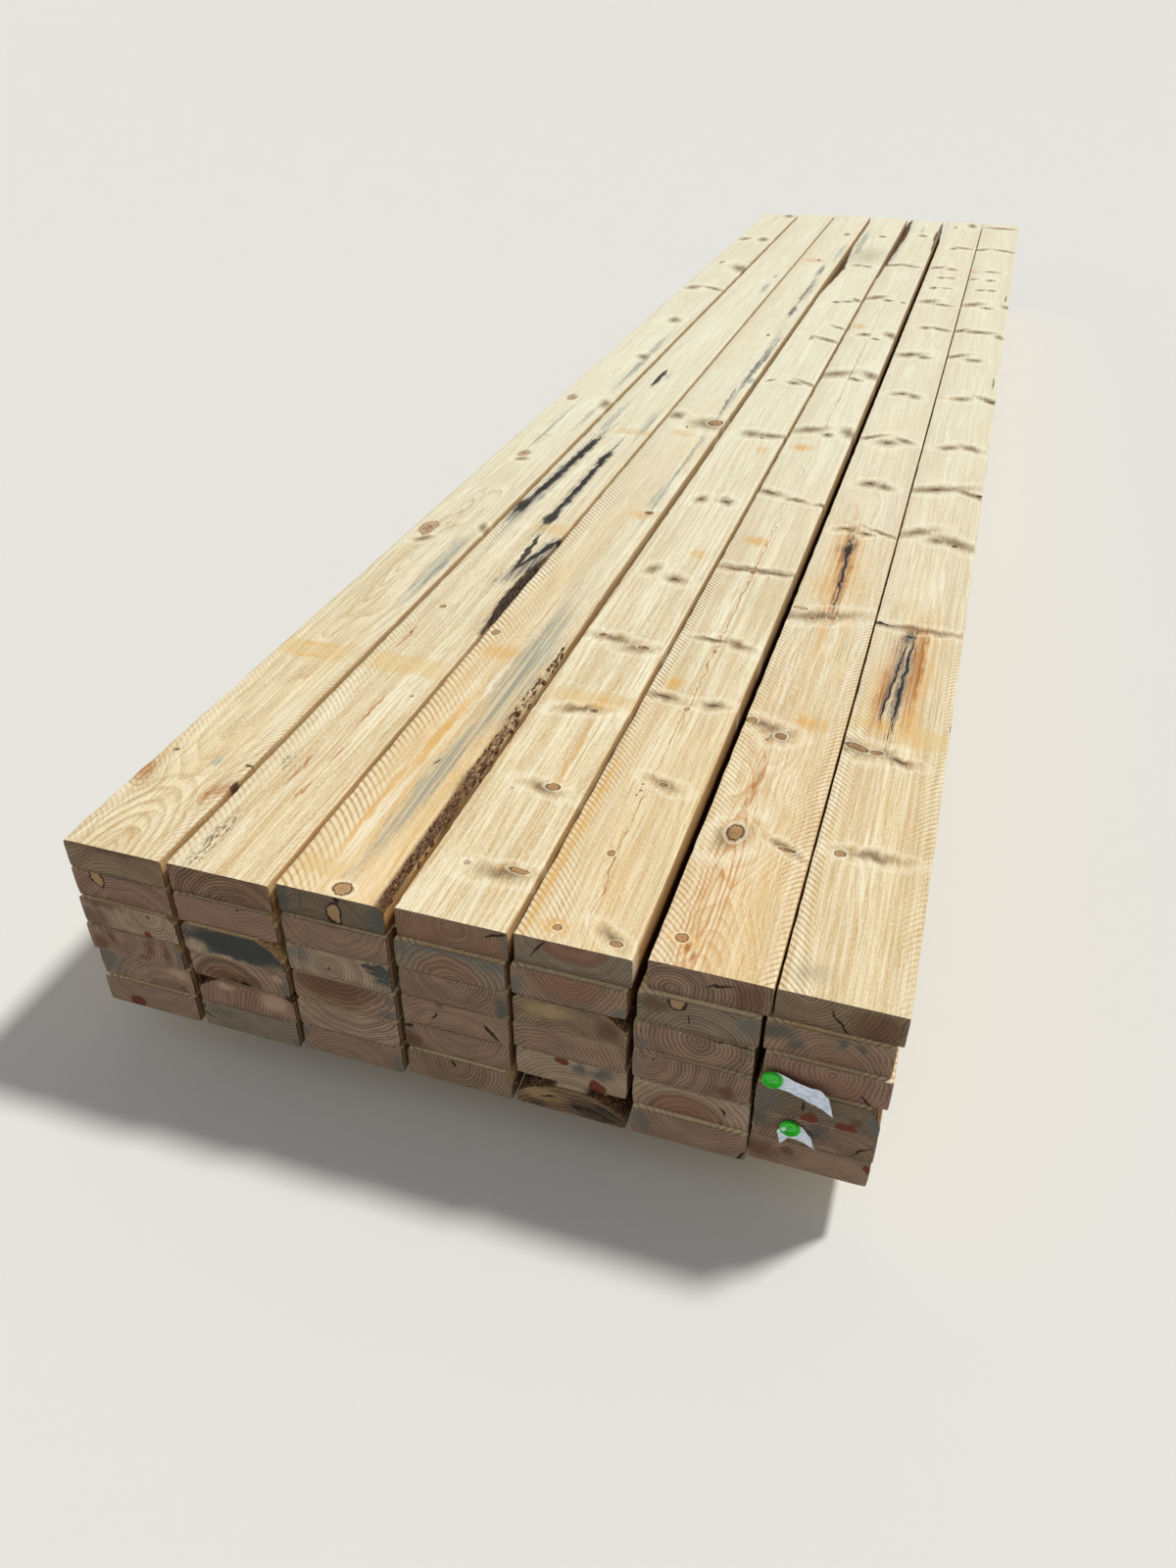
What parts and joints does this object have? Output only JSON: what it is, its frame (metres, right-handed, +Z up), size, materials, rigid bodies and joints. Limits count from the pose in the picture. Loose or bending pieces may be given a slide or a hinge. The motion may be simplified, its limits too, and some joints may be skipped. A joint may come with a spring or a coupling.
{
  "type": "lumber stack",
  "caption": "Stack of rough sawn softwood boards laid close in rows and layers on grooved wooden bearers, with torn wrap remains on an end.",
  "frame": {"origin": "centre of the footprint on the ground, under the middle of the stack", "axes": "+Y along the boards away from the front ends, +X across the stack to the right, +Z up"},
  "size_m": [1.1058, 4.895, 0.352],
  "materials": {
    "sawn_wood": "rough sawn",
    "bearer_wood": "rough sawn, weathered",
    "cap_plastic": "moulded",
    "wrap_film": "torn woven film"
  },
  "bodies": {
    "root": {"board_layer_1_row_1": "sawn_wood", "board_layer_1_row_2": "sawn_wood", "board_layer_1_row_3": "sawn_wood", "board_layer_1_row_4": "sawn_wood", "board_layer_1_row_5": "sawn_wood", "board_layer_1_row_6": "sawn_wood", "board_layer_1_row_7": "sawn_wood", "board_layer_2_row_1": "sawn_wood", "board_layer_2_row_2": "sawn_wood", "board_layer_2_row_3": "sawn_wood", "board_layer_2_row_4": "sawn_wood", "board_layer_2_row_5": "sawn_wood", "board_layer_2_row_6": "sawn_wood", "board_layer_2_row_7": "sawn_wood", "board_layer_3_row_1": "sawn_wood", "board_layer_3_row_2": "sawn_wood", "board_layer_3_row_3": "sawn_wood", "board_layer_3_row_4": "sawn_wood", "board_layer_3_row_5": "sawn_wood", "board_layer_3_row_6": "sawn_wood", "board_layer_3_row_7": "sawn_wood", "board_layer_4_row_1": "sawn_wood", "board_layer_4_row_2": "sawn_wood", "board_layer_4_row_3": "sawn_wood", "board_layer_4_row_4": "sawn_wood", "board_layer_4_row_5": "sawn_wood", "board_layer_4_row_6": "sawn_wood", "board_layer_4_row_7": "sawn_wood", "board_layer_5_row_1": "sawn_wood", "board_layer_5_row_2": "sawn_wood", "board_layer_5_row_3": "sawn_wood", "board_layer_5_row_4": "sawn_wood", "board_layer_5_row_5": "sawn_wood", "board_layer_5_row_6": "sawn_wood", "board_layer_5_row_7": "sawn_wood", "board_layer_6_row_1": "sawn_wood", "board_layer_6_row_2": "sawn_wood", "board_layer_6_row_3": "sawn_wood", "board_layer_6_row_4": "sawn_wood", "board_layer_6_row_5": "sawn_wood", "board_layer_6_row_6": "sawn_wood", "board_layer_6_row_7": "sawn_wood", "bearer_1": "bearer_wood", "bearer_2": "bearer_wood", "bearer_3": "bearer_wood", "bearer_4": "bearer_wood", "wrap_cap_upper": "cap_plastic", "wrap_cap_lower": "cap_plastic", "wrap_scrap_upper": "wrap_film", "wrap_scrap_lower": "wrap_film"}
  },
  "joints": []
}
